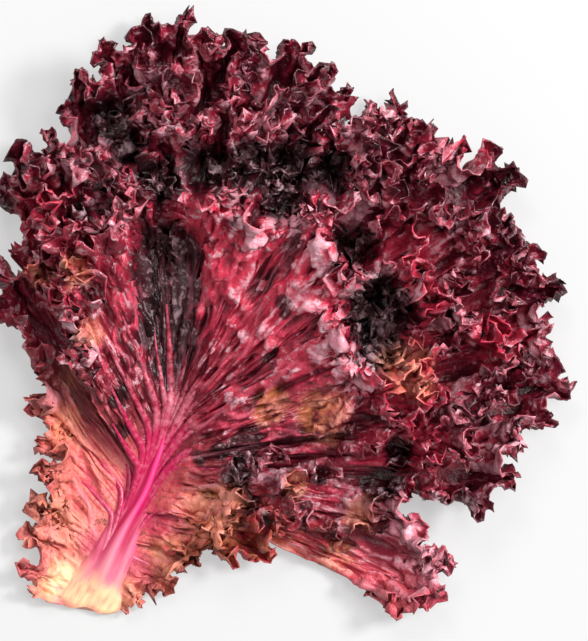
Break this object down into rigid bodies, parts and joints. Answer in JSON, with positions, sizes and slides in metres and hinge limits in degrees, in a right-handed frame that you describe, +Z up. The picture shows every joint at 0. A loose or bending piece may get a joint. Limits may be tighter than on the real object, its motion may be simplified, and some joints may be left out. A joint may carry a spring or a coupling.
{
  "type": "red leaf lettuce leaf",
  "caption": "Frilled red lettuce leaf lying flat: a thick pink midrib with side veins and layered, ruffled, toothed burgundy blade.",
  "frame": {"origin": "middle of the midrib's flat underside, just in front of the cut end of the leaf, on the surface that the leaf lies on", "axes": "+Z up from the surface; +Y from the cut end along the midrib towards the far margin; +X to the right seen from above"},
  "size_m": [0.1865, 0.1889, 0.0499],
  "materials": {
    "leaf": "waxy red leaf, semi-gloss, burgundy blade, magenta midrib fading to a cream base"
  },
  "bodies": {
    "root": {"leaf": "leaf"}
  },
  "joints": []
}
